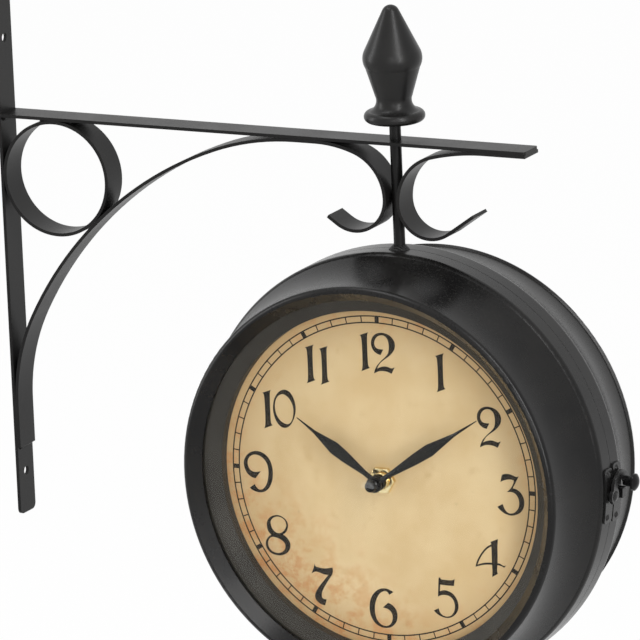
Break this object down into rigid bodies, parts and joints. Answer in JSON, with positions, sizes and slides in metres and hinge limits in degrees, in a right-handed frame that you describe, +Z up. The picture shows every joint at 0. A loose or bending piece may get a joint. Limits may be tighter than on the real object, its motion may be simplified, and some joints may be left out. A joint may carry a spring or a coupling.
{
  "type": "double sided wall clock",
  "caption": "Double sided round clock in a pressed steel case, hung by a rod from a scrolled flat-bar wall bracket with a spear finial; the rear half opens on a hinge.",
  "frame": {"origin": "on the wall face of the wall bar, midway between its two screw holes", "axes": "+X away from the wall along the arm, +Z up, -Y towards the viewer of the fixed front dial, +Y towards the viewer of the hinged rear dial"},
  "size_m": [0.3317, 0.095, 0.336],
  "materials": {
    "black_paint": "satin black paint on steel",
    "hinge_steel": "dull zinc plate",
    "knob_black": "gloss black paint",
    "clear_glass": "clear domed glass",
    "bezel_paint": "satin grey-brown paint",
    "dial_print": "aged cream print on a metal plate",
    "spring_steel": "bare spring steel",
    "housing_plastic": "moulded, matt",
    "cell_can": "plain sleeve",
    "rubber": "matt",
    "brass": "turned",
    "knob_plastic": "moulded, matt",
    "hand_black": "black enamel"
  },
  "bodies": {
    "bracket_and_front_case": {"wall_bar": "black_paint", "arm_bar": "black_paint", "corner_ring": "black_paint", "brace_scroll": "black_paint", "end_scroll": "black_paint", "hanger_rod": "black_paint", "finial": "black_paint", "bracket_welds": "black_paint", "rod_weld": "black_paint", "hinge_pin": "hinge_steel", "latch_plate": "black_paint", "latch_pivot": "black_paint", "front_shell": "black_paint", "front_glass": "clear_glass", "front_bezel": "bezel_paint", "front_dial": "dial_print", "front_retainer": "spring_steel", "front_movement": "housing_plastic", "front_battery": "cell_can", "front_washer": "rubber", "front_bushing": "brass", "front_nut": "brass", "front_hinge_leaf": "black_paint", "front_rivets": "black_paint"},
    "rear_case": {"catch_plate": "black_paint", "rear_shell": "black_paint", "rear_glass": "clear_glass", "rear_bezel": "bezel_paint", "rear_dial": "dial_print", "rear_retainer": "spring_steel", "rear_movement": "housing_plastic", "rear_battery": "cell_can", "rear_washer": "rubber", "rear_bushing": "brass", "rear_nut": "brass", "rear_hinge_leaf": "black_paint", "rear_rivets": "black_paint"},
    "latch": {"latch_lever": "black_paint", "latch_knob": "knob_black"},
    "front_minute": {"front_minute_arbor": "brass", "front_minute_hand": "hand_black", "front_hand_cap": "hand_black"},
    "front_hour": {"front_hour_tube": "brass", "front_hour_hand": "hand_black"},
    "front_setting": {"front_setting_knob": "knob_plastic"},
    "rear_minute": {"rear_minute_arbor": "brass", "rear_minute_hand": "hand_black", "rear_hand_cap": "hand_black"},
    "rear_hour": {"rear_hour_tube": "brass", "rear_hour_hand": "hand_black"},
    "rear_setting": {"rear_setting_knob": "knob_plastic"}
  },
  "joints": [
    {"name": "case_hinge", "type": "hinge", "parent": "bracket_and_front_case", "child": "rear_case", "pos_m": [0.1033, 0.001, -0.089], "axis": [0, 0, 1], "range_deg": [0, 100]},
    {"name": "latch_turn", "type": "hinge", "parent": "bracket_and_front_case", "child": "latch", "pos_m": [0.32398, -0.0024, -0.09419], "axis": [0.9989, 0, -0.0471], "range_deg": [0, 80]},
    {"name": "front_minute_turn", "type": "hinge", "parent": "bracket_and_front_case", "child": "front_minute", "pos_m": [0.214, -0.029, -0.089], "axis": [0, 1, 0], "continuous": true},
    {"name": "front_hour_turn", "type": "hinge", "parent": "bracket_and_front_case", "child": "front_hour", "pos_m": [0.214, -0.029, -0.089], "axis": [0, 1, 0], "continuous": true},
    {"name": "front_setting_turn", "type": "hinge", "parent": "bracket_and_front_case", "child": "front_setting", "pos_m": [0.214, -0.0075, -0.08], "axis": [0, 1, 0], "continuous": true},
    {"name": "rear_minute_turn", "type": "hinge", "parent": "rear_case", "child": "rear_minute", "pos_m": [0.214, 0.031, -0.089], "axis": [0, -1, 0], "continuous": true},
    {"name": "rear_hour_turn", "type": "hinge", "parent": "rear_case", "child": "rear_hour", "pos_m": [0.214, 0.031, -0.089], "axis": [0, -1, 0], "continuous": true},
    {"name": "rear_setting_turn", "type": "hinge", "parent": "rear_case", "child": "rear_setting", "pos_m": [0.214, 0.0095, -0.08], "axis": [0, -1, 0], "continuous": true}
  ],
  "couplings": [
    {"joint": "front_hour_turn", "follows": "front_minute_turn", "ratio": 0.083333},
    {"joint": "front_setting_turn", "follows": "front_minute_turn", "ratio": -0.33333},
    {"joint": "rear_hour_turn", "follows": "rear_minute_turn", "ratio": 0.083333},
    {"joint": "rear_setting_turn", "follows": "rear_minute_turn", "ratio": -0.33333}
  ]
}
